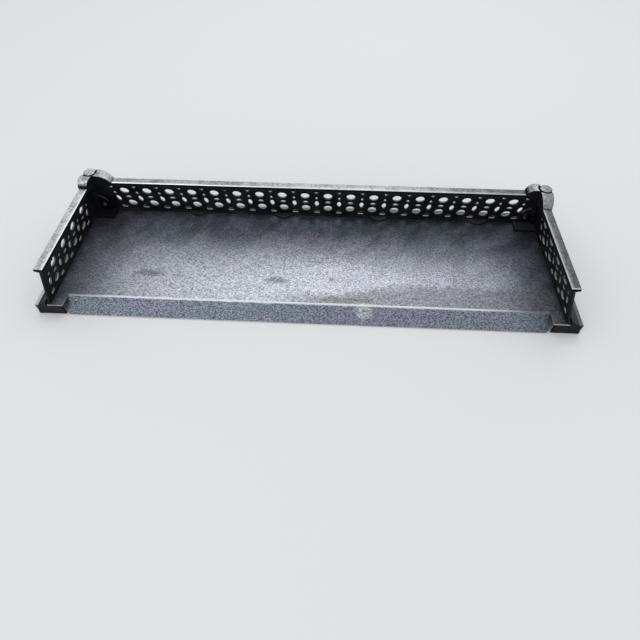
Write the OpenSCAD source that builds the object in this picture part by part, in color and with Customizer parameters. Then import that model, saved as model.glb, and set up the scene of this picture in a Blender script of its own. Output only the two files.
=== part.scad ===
// Hearth fender: a sheet-iron sole plate inside a three-sided pierced gallery.
// Millimetres, +Z up. The open (hearth) side faces -Y and the front of the gallery
// faces +Y. The origin is on the floor, under the middle of the whole fender.

/* [Rails] */
// Distance between the centrelines of the two side rails
rail_span = 1080; // [1040:1:1400]
// Distance from the square near ends to the centreline of the front rail
rail_reach = 294; // [280:1:420]
// Width of the flat steel rail
rail_w = 19; // [18:0.5:24]
// Thickness of the flat steel rail
rail_t = 8; // [7:0.5:10]
// Bevel along the long edges of the rail
rail_bevel = 1.5; // [0.5:0.1:2.5]

/* [Gallery] */
// Height from the top of the sole plate to the top of the rails
gallery_h = 119; // [116:1:140]
// How far the wall stands inside the rail centreline, at the level of the rail top
wall_inset = 3; // [2:0.5:5]
// How far the wall spreads outward from the rail top down to the plate
wall_spread = 38; // [25:1:42]
// Thickness of the pierced casting
fret_t = 3.5; // [3:0.5:6]
// Thickness of the flange that carries the rail
flange_t = 4; // [3:0.5:6]
// Reach of that flange inward from the rail centreline
flange_in = 9; // [8.5:0.5:9]
// Reach of that flange outward from the rail centreline
flange_out = 6; // [4:0.5:8]
// Width of the foot rib of the casting
foot_w = 9; // [8:0.5:11]
// Height of the foot rib of the casting
foot_h = 6; // [5:0.5:9]
// Setback of the casting from the square near ends
fret_setback = 2; // [1:0.5:6]

/* [Pierced pattern] */
// Distance between like columns of holes
pitch = 56.2; // [52:0.2:64]
// How far the front wall's pattern stands to the right of the middle
front_shift = 12; // [-12:0.5:12]
// Diameter of the round holes
round_d = 21; // [16:0.5:24]
// Height of the round holes above and below the middle of the pattern
round_rise = 26; // [22:0.5:28]
// Width of the triangular holes under the rail
tri_w = 19; // [14:0.5:22]
// Height of the triangular holes
tri_h = 13; // [10:0.5:15]
// Width of the small diamond holes
diamond_w = 7.6; // [5:0.2:10]
// Height of the small diamond holes
diamond_h = 9.6; // [6:0.2:12]
// Height of the diamond above the middle of the pattern
diamond_rise = 16.8; // [15:0.2:18]
// Width of the upright oval holes
upright_w = 10; // [7:0.5:13]
// Height of the upright oval holes
upright_h = 22; // [16:0.5:24]
// Drop of the upright oval below the middle of the pattern
upright_drop = 7; // [5:0.5:9]
// Width of the lying oval holes between the round ones
lying_w = 14; // [9:0.5:18]
// Height of the lying oval holes
lying_h = 7; // [4:0.5:9]
// Width of the domed holes over the foot
dome_w = 15; // [10:0.5:18]
// Height of the domed holes
dome_h = 12; // [9:0.5:14]
// Solid margin between the rail flange and the triangular holes
top_margin = 2; // [1.5:0.5:4]
// Solid margin between the plate and the domed holes
foot_margin = 14; // [12:0.5:17]
// Plain wall kept between the last column and the corner, before that shift
end_margin = 22; // [18:0.5:30]

/* [Plinth] */
// Height of the plinth, from the floor to the top of the sole plate
plinth_h = 32; // [28:1:45]
// Width of the flat strip along the outer edge of the plinth
strip_w = 10; // [7:0.5:14]
// Width of the hollow moulding between that strip and the foot of the wall
cove_w = 17; // [13:0.5:21]
// Height of that moulding above the strip
cove_h = 10; // [8:0.5:12]
// Flat lip along the top of the moulding
cove_lip = 2; // [1.5:0.5:4]
// Wall thickness of the plinth casting
plinth_wall = 5; // [4:0.5:7]
// How far the toe stands out at the floor
toe_out = 2; // [1:0.5:4]
// Height of the toe
toe_h = 7; // [5:0.5:10]
// Width of the inner ledge that carries the sole plate
ledge_w = 30; // [28:1:40]
// Thickness of that ledge
ledge_t = 5; // [4:0.5:7]

/* [Sole plate] */
// Thickness of the sheet iron
plate_t = 2; // [1.5:0.25:3]
// Distance from the near ends to the fold of the apron
fold_back = 35; // [25:1:60]
// Angle of the apron below level
apron_angle = 42; // [35:1:60]
// Inside radius of the fold
fold_r = 6; // [3:0.5:9]
// Distance of the end of the apron from the side rail centreline, outward
apron_past_rail = 4; // [0:0.5:6]
// Corner cut off both ends of the apron at the floor
apron_corner = 7; // [2:0.5:12]

/* [Foot lugs] */
// Places of the lugs along the front wall, from the middle
lug_x = [-303, -77, 173, 430]; // [-440:1:440]
// Radius of a lug
lug_r = 25; // [20:1:30]
// How far a lug stands in from the middle of the wall's foot
lug_reach = 18; // [16:0.5:20]
// Thickness of a lug
lug_t = 6; // [5:0.5:8]

/* [Corner posts] */
// Radius of the round corner post
post_r = 11; // [10:0.5:13]
// How far the post's axis stands inside the middle of both walls
post_inset = 4; // [3.5:0.5:6]
// Radius of the arched lug on the front wall
arch_r = 21; // [20.5:0.5:30]
// Height of the arch's centre above the plate
arch_rise = 50; // [46:1:56]
// Distance of the arch's centre outward from the side rail centreline
arch_past_rail = 5; // [2:0.5:7]
// Thickness of the arched lug
arch_t = 3.5; // [3:0.5:5]
// Width of the raised rim round the arch
rim_w = 2.2; // [1.4:0.2:3]
// Height of the rim above the lug
rim_t = 2.5; // [1.5:0.5:4]
// Length of the post's foot along the front wall
foot_block_l = 52; // [48:1:60]
// Depth of the post's foot
foot_block_d = 34; // [32:1:40]

/* [Corner caps] */
// Length of the long arm, from the crossing of the rails
arm_long = 60; // [52:1:70]
// Length of the short arm, from the crossing of the rails
arm_short = 36; // [32:1:44]
// How far the button stands along the long arm
cap_shift = 12; // [8:0.5:13]
// Height of the button's top above the rails
cap_rise = 21; // [16:0.5:26]
// Radius of the button and of the drum under it
drum_r = 14; // [13:0.5:16]
// How far an arm ends proud of the rail's side
arm_step = 1; // [0.5:0.5:3]
// Thickness of the button
button_t = 2.5; // [2:0.5:6]
// Width of the dark groove under and round the button
groove_w = 1.8; // [0.6:0.1:2.4]

/* [Fasteners] */
// Radius of the corner bolts and button studs
bolt_r = 4; // [3:0.25:4]
// Length of the bolt end that stands inside the corner
bolt_tail = 14; // [11:0.5:18]
// Radius of the small screws
screw_r = 2; // [1.5:0.1:2.2]
// Radius of the foot screws
foot_screw_r = 2.3; // [2:0.1:2.6]
// Number of screws under the front rail
front_screws = 5; // [3:1:9]

/* [Fits] */
// Gap at butted castings and rail ends
seam = 0.2; // [0.1:0.05:0.4]
// Gap round a wall end in its post and along a foot in its seat
slot_gap = 0.3; // [0.2:0.05:0.5]
// Radial gap round a screw or bolt
hole_gap = 0.3; // [0.2:0.05:0.5]

/* [Hidden] */
$fn = 64;
far = 2000;
cut = 1;

plate_top = plinth_h;
ledge_top = plate_top - plate_t;
ledge_under = ledge_top - ledge_t;
rail_top = plate_top + gallery_h;
rail_under = rail_top - rail_t;
flange_under = rail_under - flange_t;
half_span = rail_span / 2;

// The wall's middle plane, as an outward distance from the rail centreline
lean = atan(wall_spread / gallery_h);
function wall_out(z) = -wall_inset + wall_spread * (rail_top - z) / gallery_h;
function post_out(z) = wall_out(z) - post_inset;
foot_out = wall_out(plate_top);
seat_out = foot_out + foot_w / 2;
slope_h = (flange_under - plate_top) / cos(lean);

// Plinth section, as outward distances from the rail centreline
cove_in = seat_out + slot_gap;
strip_in = cove_in + cove_lip + cove_w;
strip_out = strip_in + strip_w;
toe = strip_out + toe_out;
ledge_in = seat_out - ledge_w;
quirk = 1.5;
strip_bevel = 1.5;

// Pattern layout
pattern_mid = (foot_margin + slope_h - top_margin) / 2;
front_pairs = floor((half_span - end_margin - tri_w / 2) / pitch);
side_columns = floor((rail_reach - end_margin - tri_w / 2) / pitch + 0.5);

// The whole fender is centred on its depth: the apron's foot to the front toe
fold_z = fold_r + plate_t;
fold_lap = 5;
fold_steps = 6;
apron_run = (plate_top - fold_z * (1 - cos(apron_angle))) / tan(apron_angle)
    + fold_z * sin(apron_angle);
apron_foot = fold_back - apron_run;
y_low = min(0, apron_foot);
y_mid = (y_low + rail_reach + toe) / 2;

// Where a wall stops short of its post's axis
wall_short = 1;

// Screws: distance inward from the rail centreline or the wall's foot, heads, tips and roofs
screw_in = 6;
foot_screw_in = 10;
screw_head_r = 1.5 * screw_r;
screw_head_h = 2.2;
foot_head_r = 1.9 * foot_screw_r;
foot_head_h = 3;
rail_grip = 4;
rail_hole = 5;
foot_tip = 2;
foot_roof = 1.5;
side_screws = [0.14, 0.72];
block_screw = 0.8;

// Corner bolts: their place on the front wall, heads and nuts
bolt_in = 5.5;
bolt_up = 42;
bolt_head_r = 2 * bolt_r;
bolt_head_h = 5;
nut_r = 1.65 * bolt_r;
nut_h = 6.5;

// Button stud and the post's head plate that it screws into
stud_depth = flange_t - 1;
head_r = 12;

module centred() {
    translate([0, -y_mid, 0]) children();
}

// A run's own frame: X along the wall, Y outward from the rail centreline
module front_run() {
    centred() translate([0, rail_reach, 0]) children();
}

module left_run() {
    centred() translate([-half_span, 0, 0]) rotate([0, 0, 90]) children();
}

module right_run() {
    mirror([1, 0, 0]) left_run() children();
}

// On the wall: X along it, Y up its slope, Z inward through it
module on_wall() {
    translate([0, foot_out, plate_top]) rotate([90 + lean, 0, 0]) children();
}

// ---- Pierced pattern -------------------------------------------------------

// An oval: two wide arcs for the sides and one arc for both ends
module oval(w, h) {
    lens = 0.575 * h;
    side_r = (pow(w / 2, 2) + pow(lens, 2)) / w;
    intersection() {
        translate([side_r - w / 2, 0]) circle(r = side_r);
        translate([w / 2 - side_r, 0]) circle(r = side_r);
        circle(d = h);
    }
}

module dome() {
    r = dome_w / 2;
    base = foot_margin;
    intersection() {
        translate([0, base + dome_h - r]) circle(r = r);
        translate([-dome_w, base]) square([2 * dome_w, dome_h + cut]);
    }
}

module triangle() {
    top = slope_h - top_margin;
    polygon([[-tri_w / 2, top], [tri_w / 2, top], [0, top - tri_h]]);
}

module diamond() {
    translate([0, pattern_mid + diamond_rise])
        polygon([[-diamond_w / 2, 0], [0, diamond_h / 2], [diamond_w / 2, 0], [0, -diamond_h / 2]]);
}

// The column with a triangle, a diamond, an upright oval and a dome
module pointed_column() {
    triangle();
    diamond();
    translate([0, pattern_mid - upright_drop]) oval(upright_w, upright_h);
    dome();
}

// The column with two round holes and a lying oval between them
module round_column() {
    for (side = [-1, 1]) {
        translate([0, pattern_mid + side * round_rise]) circle(d = round_d);
    }
    translate([0, pattern_mid]) rotate(90) oval(lying_h, lying_w);
}

// ---- Walls -----------------------------------------------------------------

// Where a wall ends in its post, along the run, at height s up the slope
function wall_end(reach, s) = reach + post_out(plate_top + s * cos(lean)) - wall_short;

module front_outline(grow = 0) {
    low = wall_end(half_span, 0) + grow;
    high = wall_end(half_span, slope_h) + grow;
    polygon([[-low, 0], [low, 0], [high, slope_h], [-high, slope_h]]);
}

module side_outline(grow = 0) {
    low = wall_end(rail_reach, 0) + grow;
    high = wall_end(rail_reach, slope_h) + grow;
    polygon([[fret_setback, 0], [low, 0], [high, slope_h], [fret_setback, slope_h]]);
}

// A leaning slab cut level at the plate and under the flange
module leaning_slab(thick) {
    intersection() {
        on_wall() translate([0, 0, -thick / 2]) linear_extrude(thick) children();
        translate([-far / 2, -far / 2, plate_top]) cube([far, far, flange_under + cut / 2 - plate_top]);
    }
}

module bar(x0, x1, y0, y1, z0, z1) {
    translate([x0, y0, z0]) cube([x1 - x0, y1 - y0, z1 - z0]);
}

module screw_hole(x, y, z0, z1, r) {
    translate([x, y, z0]) cylinder(h = z1 - z0, r = r + hole_gap);
}

// Where the flange and the foot rib stop, measured from the crossing of the rails
flange_stop = post_out(flange_under) - post_r - slot_gap;
plate_stop = -cap_shift - head_r - slot_gap;
rib_stop = post_out(plate_top) - post_r - slot_gap;

// The end screws of the front rail stand clear of the caps' arms
function front_screw_x(i) = (i / (front_screws - 1) - 0.5) * (rail_span - 4 * arm_long);
function side_screw_x(i) = side_screws[i] * rail_reach;

// The front wall with its flange, foot rib and lugs
module front_fret() {
    color("#2b2b2e") front_run() difference() {
        union() {
            leaning_slab(fret_t) difference() {
                front_outline();
                for (k = [-front_pairs : front_pairs]) {
                    translate([k * pitch + front_shift, 0]) pointed_column();
                }
                for (k = [-front_pairs : front_pairs - 1]) {
                    translate([(k + 0.5) * pitch + front_shift, 0]) round_column();
                }
            }
            bar(-half_span - plate_stop, half_span + flange_stop,
                -flange_in, flange_out, flange_under, rail_under);
            bar(-half_span - rib_stop, half_span + rib_stop,
                foot_out - foot_w / 2, seat_out, plate_top, plate_top + foot_h);
            for (x = lug_x) {
                lug(x);
            }
        }
        for (i = [0 : front_screws - 1]) {
            screw_hole(front_screw_x(i), -screw_in, flange_under - cut, rail_under + cut, screw_r);
        }
        for (x = lug_x) {
            screw_hole(x, foot_out - foot_screw_in, plate_top - cut, plate_top + lug_t - foot_roof, foot_screw_r);
        }
        for (side = [-1, 1]) {
            on_wall() translate([side * (half_span - bolt_in), bolt_up, -fret_t])
                cylinder(h = 2 * fret_t, r = bolt_r + hole_gap);
        }
    }
}

// A round ear cast on the foot of the front wall
module lug(x) {
    intersection() {
        translate([x, foot_out - lug_reach + lug_r, plate_top]) cylinder(h = lug_t, r = lug_r);
        bar(x - lug_r - cut, x + lug_r + cut, -far / 2, foot_out, 0, far);
    }
}

// A side wall, with its flange stopping at the given distance from the crossing
module side_fret(stop) {
    difference() {
        union() {
            leaning_slab(fret_t) difference() {
                side_outline();
                for (k = [0 : side_columns - 1]) {
                    translate([(k + 0.5) * pitch, 0]) pointed_column();
                }
                for (k = [1 : side_columns - 1]) {
                    translate([k * pitch, 0]) round_column();
                }
            }
            bar(fret_setback, rail_reach + stop,
                -flange_in, flange_out, flange_under, rail_under);
            bar(fret_setback, rail_reach + rib_stop,
                foot_out - foot_w / 2, seat_out, plate_top, plate_top + foot_h);
        }
        for (i = [0, 1]) {
            screw_hole(side_screw_x(i), -screw_in, flange_under - cut, rail_under + cut, screw_r);
            screw_hole(side_screw_x(i), foot_out, plate_top - cut, plate_top + foot_h - foot_roof, foot_screw_r);
        }
    }
}

module left_fret() {
    color("#2b2b2e") left_run() side_fret(flange_stop);
}

module right_fret() {
    color("#2b2b2e") right_run() side_fret(plate_stop);
}

// ---- Rails -----------------------------------------------------------------

module rail_section() {
    w = rail_w / 2;
    b = rail_bevel;
    polygon([[-w, 0], [w, 0], [w, rail_t - b], [w - b, rail_t], [b - w, rail_t], [-w, rail_t - b]]);
}

module rail_bar(x0, x1) {
    translate([x0, 0, rail_under]) rotate([90, 0, 90]) linear_extrude(x1 - x0) rail_section();
}

module front_rail() {
    color("#b9bcc2") front_run() difference() {
        rail_bar(arm_long + seam - half_span, half_span - arm_short - seam);
        for (i = [0 : front_screws - 1]) {
            screw_hole(front_screw_x(i), -screw_in, rail_under - cut, rail_under + rail_hole, screw_r);
        }
    }
}

module side_rail(arm) {
    difference() {
        rail_bar(0, rail_reach - arm - seam);
        for (i = [0, 1]) {
            screw_hole(side_screw_x(i), -screw_in, rail_under - cut, rail_under + rail_hole, screw_r);
        }
    }
}

module left_rail() {
    color("#b9bcc2") left_run() side_rail(arm_short);
}

module right_rail() {
    color("#b9bcc2") right_run() side_rail(arm_long);
}

// ---- Plinth ----------------------------------------------------------------

// Section of the plinth: X outward from the rail centreline, Y up from the floor
module plinth_section() {
    arc_x = strip_in + quirk;
    arc_run = arc_x - cove_in - cove_lip;
    arc_rise = cove_h - quirk;
    arc_r = (pow(arc_run, 2) + pow(arc_rise, 2)) / (2 * arc_rise);
    difference() {
        polygon([
            [ledge_in, ledge_under], [strip_out - plinth_wall, ledge_under],
            [strip_out - plinth_wall, 0], [toe, 0], [toe, toe_h],
            [strip_out, toe_h + toe_out], [strip_out, plinth_h - strip_bevel],
            [strip_out - strip_bevel, plinth_h], [strip_in, plinth_h],
            [strip_in, plinth_h + cove_h], [cove_in, plinth_h + cove_h],
            [cove_in, ledge_top], [ledge_in, ledge_top]
        ]);
        translate([arc_x, plinth_h + quirk + arc_r]) circle(r = arc_r);
    }
}

module plinth_bar(x0, x1) {
    translate([x0, 0, 0]) rotate([90, 0, 90]) linear_extrude(x1 - x0) plinth_section();
}

module front_plinth() {
    inner = half_span + ledge_in - cut - seam / 2;
    outer = half_span + toe + cut - seam / 2;
    color("#2b2b2e") front_run() difference() {
        intersection() {
            plinth_bar(-half_span - toe - cut, half_span + toe + cut);
            linear_extrude(far) polygon([
                [-inner, ledge_in - cut], [inner, ledge_in - cut],
                [outer, toe + cut], [-outer, toe + cut]
            ]);
        }
        for (x = lug_x) {
            screw_hole(x, foot_out - foot_screw_in, 0, plate_top, foot_screw_r);
        }
        for (side = [-1, 1]) {
            screw_hole(side * post_screw_a[0], post_screw_a[1], 0, plate_top, foot_screw_r);
        }
    }
}

module side_plinth() {
    inner = rail_reach + ledge_in - cut - seam / 2;
    outer = rail_reach + toe + cut - seam / 2;
    difference() {
        union() {
            intersection() {
                plinth_bar(0, rail_reach + toe + cut);
                linear_extrude(far) polygon([
                    [0, ledge_in - cut], [inner, ledge_in - cut], [outer, toe + cut], [0, toe + cut]
                ]);
            }
            bar(0, plinth_wall, ledge_in, strip_out - cut, 0, ledge_top);
        }
        for (i = [0, 1]) {
            screw_hole(side_screw_x(i), foot_out, -cut, plate_top, foot_screw_r);
        }
        screw_hole(post_screw_b[0], post_screw_b[1], 0, plate_top, foot_screw_r);
    }
}

module left_plinth() {
    color("#2b2b2e") left_run() side_plinth();
}

module right_plinth() {
    color("#2b2b2e") right_run() side_plinth();
}

// ---- Sole plate ------------------------------------------------------------

// A point of the fold at radius r, turned by the angle a from the level sheet
function fold_point(r, a) = [fold_back - r * sin(a), plate_top - fold_z + r * cos(a)];

// Section along Y: a strip of the level sheet, the fold and the sloping apron down to the floor
module apron_section() {
    step = apron_angle / fold_steps;
    polygon(concat(
        [[fold_back + fold_lap, plate_top]],
        [for (i = [0 : fold_steps]) fold_point(fold_z, i * step)],
        [[apron_foot, 0], [apron_foot + plate_t / sin(apron_angle), 0]],
        [for (i = [fold_steps : -1 : 0]) fold_point(fold_r, i * step)],
        [[fold_back + fold_lap, ledge_top]]
    ));
}

module plate_holes() {
    for (x = lug_x) {
        screw_hole(x, rail_reach + foot_out - foot_screw_in, 0, far, foot_screw_r);
    }
    for (side = [-1, 1]) {
        for (i = [0, 1]) {
            screw_hole(side * (half_span + foot_out), side_screw_x(i), 0, far, foot_screw_r);
        }
        screw_hole(side * post_screw_a[0], rail_reach + post_screw_a[1], 0, far, foot_screw_r);
        screw_hole(side * (half_span + post_screw_b[1]), post_screw_b[0], 0, far, foot_screw_r);
    }
}

module sole_plate() {
    edge = half_span + seat_out;
    apron_end = half_span + apron_past_rail;
    color("#6f7884") centred() difference() {
        union() {
            bar(-edge, edge, fold_back + fold_lap / 2, rail_reach + seat_out, ledge_top, plate_top);
            for (side = [0, 1]) {
                mirror([side, 0, 0])
                    bar(apron_end + seam, edge, 0, fold_back + fold_lap, ledge_top, plate_top);
            }
            translate([-apron_end, 0, 0]) rotate([90, 0, 90])
                linear_extrude(2 * apron_end) apron_section();
        }
        plate_holes();
        for (side = [0, 1]) {
            mirror([side, 0, 0]) translate([apron_end, apron_foot, 0]) rotate([apron_angle, 0, 0])
                translate([0, 0, -plate_t - cut]) linear_extrude(plate_t + 2 * cut) polygon([
                    [-apron_corner - cut, -cut], [seam / 2, -cut], [seam / 2, apron_corner + seam / 2]
                ]);
        }
    }
}

// ---- Corner posts ----------------------------------------------------------

// Outlines on the front wall, in its slope frame
module arch_outline(r) {
    s = arch_rise / cos(lean);
    x = half_span + arch_past_rail;
    intersection() {
        union() {
            translate([x, s]) circle(r = r);
            translate([x - r, foot_h]) square([2 * r, s - foot_h]);
        }
        polygon([
            [0, 0], [half_span + post_out(plate_top), 0],
            [half_span + post_out(rail_top), gallery_h / cos(lean)], [0, gallery_h / cos(lean)]
        ]);
    }
}

post_screw_a = [half_span + foot_out - block_screw * foot_block_l, foot_out - foot_screw_in];
post_screw_b = [rail_reach + foot_out - block_screw * foot_block_d, foot_out - foot_screw_in];

// Everything of the right-hand post, in the frame of the front run
module post_body() {
    block_out = foot_out - foot_w / 2 - slot_gap;
    clip_out = seat_out;
    tilt = atan(wall_spread / gallery_h * sqrt(2));
    p = post_out(plate_top);
    intersection() {
        translate([half_span + p, p, plate_top]) rotate([0, tilt, 225])
            translate([0, 0, -gallery_h]) cylinder(h = 3 * gallery_h, r = post_r);
        bar(0, half_span + clip_out, -far, clip_out, plate_top, rail_under);
    }
    on_wall() translate([0, 0, fret_t / 2 + slot_gap]) {
        linear_extrude(arch_t) arch_outline(arch_r);
        linear_extrude(arch_t + rim_t) difference() {
            arch_outline(arch_r);
            arch_outline(arch_r - rim_w);
        }
    }
    bar(half_span + block_out - foot_block_l, half_span + block_out,
        block_out - foot_block_d, block_out, plate_top, plate_top + foot_h);
}

// A right-hand post whose head plate stands in from the crossing by dx and dy
module corner_post(dx, dy) {
    front_run() difference() {
        union() {
            post_body();
            translate([half_span - dx, -dy, flange_under]) cylinder(h = flange_t, r = head_r);
        }
        // The slots that hold the ends of both walls
        leaning_slab(fret_t + 2 * slot_gap) front_outline(slot_gap);
        translate([half_span, -rail_reach, 0]) mirror([1, 0, 0]) rotate([0, 0, 90])
            leaning_slab(fret_t + 2 * slot_gap) side_outline(slot_gap);
        on_wall() translate([half_span - bolt_in, bolt_up, 0])
            cylinder(h = fret_t + bolt_tail, r = bolt_r + hole_gap);
        screw_hole(post_screw_a[0], post_screw_a[1],
            plate_top - cut, plate_top + foot_h - foot_roof, foot_screw_r);
        screw_hole(half_span + post_screw_b[1], post_screw_b[0] - rail_reach,
            plate_top - cut, plate_top + foot_h - foot_roof, foot_screw_r);
        screw_hole(half_span - dx, -dy, rail_under - stud_depth - hole_gap, far, bolt_r);
    }
}

module left_corner_post() {
    color("#2b2b2e") mirror([1, 0, 0]) corner_post(cap_shift, 0);
}

module right_corner_post() {
    color("#2b2b2e") corner_post(0, cap_shift);
}

// ---- Corner caps -----------------------------------------------------------

// How much narrower than the drum the arms and the groove start
neck_in = 0.5;
groove_in = 2;

// Share of an arm's length after which it narrows to the rail, and how much
// narrower it is there than at the drum
arm_body = 0.6;
arm_waist = 0.6;

// How far along the button an arm begins to clasp it, as a share of its radius
clasp = 0.75;

// One arm along +X, level with the button and arched down to the end of the rail
module cap_arm(length, from) {
    cap_top = rail_t + cap_rise;
    drum_top = cap_top - button_t - groove_w;
    run = length - from - drum_r;
    lip = from + clasp * drum_r;
    arc_r = (pow(run, 2) + pow(cap_rise, 2)) / (2 * cap_rise);
    intersection() {
        translate([0, far / 4, 0]) rotate([90, 0, 0]) linear_extrude(far / 2) intersection() {
            translate([from + drum_r, cap_top - arc_r]) circle(r = arc_r, $fn = 128);
            union() {
                translate([from, 0]) square([length - from, drum_top]);
                translate([lip, 0]) square([length - lip, cap_top]);
            }
        }
        linear_extrude(far) children();
    }
}

// Plan of an arm that starts at x = from, centred on y = off, and ends on the rail
module arm_plan(length, from, off) {
    neck_w = drum_r - neck_in;
    end_w = rail_w / 2 + arm_step;
    waist = from + arm_body * (length - from);
    off_waist = off * (1 - arm_body);
    polygon([
        [from, off - neck_w], [waist, off_waist - neck_w + arm_waist], [length, -end_w],
        [length, end_w], [waist, off_waist + neck_w - arm_waist], [from, off + neck_w]
    ]);
}

// Made for the left corner: long arm along +X, short arm along -Y
module cap_body() {
    drum_top = rail_t + cap_rise - button_t - groove_w;
    seat = post_out(rail_under);
    difference() {
        union() {
            translate([cap_shift, 0, 0]) cylinder(h = drum_top, r = drum_r);
            translate([-seat, seat, 0]) cylinder(h = rail_t - rail_bevel, r = post_r + 1);
            cap_arm(arm_long, cap_shift) arm_plan(arm_long, cap_shift, 0);
            rotate([0, 0, -90]) cap_arm(arm_short, 0) arm_plan(arm_short, 0, cap_shift);
        }
        translate([cap_shift, 0, -cut]) cylinder(h = far, r = bolt_r + hole_gap);
        translate([cap_shift, 0, drum_top]) cylinder(h = far, r = drum_r + groove_w);
    }
}

// The polished button with its stud
module cap_stud() {
    drum_top = rail_t + cap_rise - button_t - groove_w;
    edge = 1;
    rotate_extrude() polygon([
        [0, -stud_depth], [bolt_r, -stud_depth], [bolt_r, drum_top],
        [drum_r - groove_in, drum_top], [drum_r - groove_in, drum_top + groove_w],
        [drum_r, drum_top + groove_w], [drum_r, drum_top + groove_w + button_t - edge],
        [drum_r - edge, drum_top + groove_w + button_t], [0, drum_top + groove_w + button_t]
    ]);
}

module left_corner() {
    centred() translate([-half_span, rail_reach, rail_under]) children();
}

module right_corner() {
    centred() translate([half_span, rail_reach, rail_under]) rotate([0, 0, -90]) children();
}

module left_corner_cap() {
    color("#b9bcc2") left_corner() cap_body();
}

module right_corner_cap() {
    color("#b9bcc2") right_corner() cap_body();
}

module left_cap_stud() {
    color("#c4c7cc") left_corner() translate([cap_shift, 0, 0]) cap_stud();
}

module right_cap_stud() {
    color("#c4c7cc") right_corner() translate([cap_shift, 0, 0]) cap_stud();
}

// ---- Fasteners -------------------------------------------------------------

// A screw standing head down, its head against the level z
module screw(x, y, z, r, length, head_r, head_h) {
    translate([x, y, z]) {
        cylinder(h = length, r = r);
        translate([0, 0, -head_h]) cylinder(h = head_h, r = head_r);
    }
}

module rail_screw(x) {
    screw(x, -screw_in, flange_under, screw_r, flange_t + rail_grip, screw_head_r, screw_head_h);
}

module foot_screw(x, y, hold) {
    screw(x, y, ledge_under, foot_screw_r, ledge_t + plate_t + hold - foot_tip, foot_head_r, foot_head_h);
}

module front_rail_screws() {
    color("#3a3a3c") front_run() for (i = [0 : front_screws - 1]) rail_screw(front_screw_x(i));
}

module left_rail_screws() {
    color("#3a3a3c") left_run() for (i = [0, 1]) rail_screw(side_screw_x(i));
}

module right_rail_screws() {
    color("#3a3a3c") right_run() for (i = [0, 1]) rail_screw(side_screw_x(i));
}

module front_foot_screws() {
    color("#3a3a3c") front_run() for (x = lug_x) foot_screw(x, foot_out - foot_screw_in, lug_t);
}

module left_foot_screws() {
    color("#3a3a3c") left_run() for (i = [0, 1]) foot_screw(side_screw_x(i), foot_out, foot_h);
}

module right_foot_screws() {
    color("#3a3a3c") right_run() for (i = [0, 1]) foot_screw(side_screw_x(i), foot_out, foot_h);
}

module post_screws() {
    front_run() {
        foot_screw(post_screw_a[0], post_screw_a[1], foot_h);
        foot_screw(half_span + post_screw_b[1], post_screw_b[0] - rail_reach, foot_h);
    }
}

module left_post_screws() {
    color("#3a3a3c") mirror([1, 0, 0]) post_screws();
}

module right_post_screws() {
    color("#3a3a3c") post_screws();
}

// Round-headed bolts through the front wall and the arched lugs
module corner_bolts() {
    color("#4a4a4d") front_run() on_wall() for (side = [-1, 1]) {
        translate([side * (half_span - bolt_in), bolt_up, -fret_t / 2]) {
            translate([0, 0, -bolt_head_h]) cylinder(h = bolt_head_h, r = bolt_head_r);
            cylinder(h = fret_t + slot_gap + bolt_tail, r = bolt_r);
        }
    }
}

module corner_nuts() {
    color("#4a4a4d") front_run() on_wall() for (side = [-1, 1]) {
        translate([side * (half_span - bolt_in), bolt_up, fret_t / 2 + slot_gap + arch_t]) difference() {
            cylinder(h = nut_h, r = nut_r, $fn = 6);
            translate([0, 0, -cut]) cylinder(h = nut_h + 2 * cut, r = bolt_r + hole_gap);
        }
    }
}

sole_plate();
front_plinth();
left_plinth();
right_plinth();
front_fret();
left_fret();
right_fret();
front_rail();
left_rail();
right_rail();
left_corner_post();
right_corner_post();
left_corner_cap();
right_corner_cap();
left_cap_stud();
right_cap_stud();
corner_bolts();
corner_nuts();
front_rail_screws();
left_rail_screws();
right_rail_screws();
front_foot_screws();
left_foot_screws();
right_foot_screws();
left_post_screws();
right_post_screws();
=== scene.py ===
"""Hearth fender: the visible pieces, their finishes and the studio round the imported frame.

Lengths in the piece functions are millimetres; a mesh is written in metres at the last step.
"""
import math
from functools import cached_property, partial

import bpy
import numpy as np
from mathutils import Matrix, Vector
from mathutils.geometry import delaunay_2d_cdt


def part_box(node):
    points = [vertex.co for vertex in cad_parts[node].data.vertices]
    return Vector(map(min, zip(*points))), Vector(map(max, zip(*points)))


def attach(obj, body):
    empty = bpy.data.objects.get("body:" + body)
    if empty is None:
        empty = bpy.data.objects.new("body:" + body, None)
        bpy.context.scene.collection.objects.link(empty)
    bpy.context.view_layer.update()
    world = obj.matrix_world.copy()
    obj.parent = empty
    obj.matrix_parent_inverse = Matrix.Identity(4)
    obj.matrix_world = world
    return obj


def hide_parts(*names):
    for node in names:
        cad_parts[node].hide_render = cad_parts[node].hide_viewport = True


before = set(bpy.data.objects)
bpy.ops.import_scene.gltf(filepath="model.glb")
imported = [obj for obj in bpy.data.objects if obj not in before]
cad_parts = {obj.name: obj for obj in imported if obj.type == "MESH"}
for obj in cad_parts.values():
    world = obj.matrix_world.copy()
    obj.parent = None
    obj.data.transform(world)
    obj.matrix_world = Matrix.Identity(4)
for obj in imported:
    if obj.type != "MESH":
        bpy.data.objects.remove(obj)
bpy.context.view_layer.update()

bl_info = {
    "name": "Hearth fender",
    "version": (1, 0, 0),
    "blender": (4, 5, 0),
    "location": "3D View > Sidebar > Fender",
    "description": "Builds the visible pieces and finishes of a pierced hearth fender",
    "category": "Object",
}

MM = 0.001


def size(name):
    """A size of the add-on's settings, in millimetres."""
    return getattr(bpy.context.scene.fender_sizes, name) / MM


def shade(name):
    """A colour of the add-on's settings."""
    return tuple(getattr(bpy.context.scene.fender_colours, name))


def low(node):
    """Lowest corner of a node of the frame, in millimetres."""
    return np.array(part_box(node)[0]) / MM


def high(node):
    """Highest corner of a node of the frame, in millimetres."""
    return np.array(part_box(node)[1]) / MM


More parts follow.
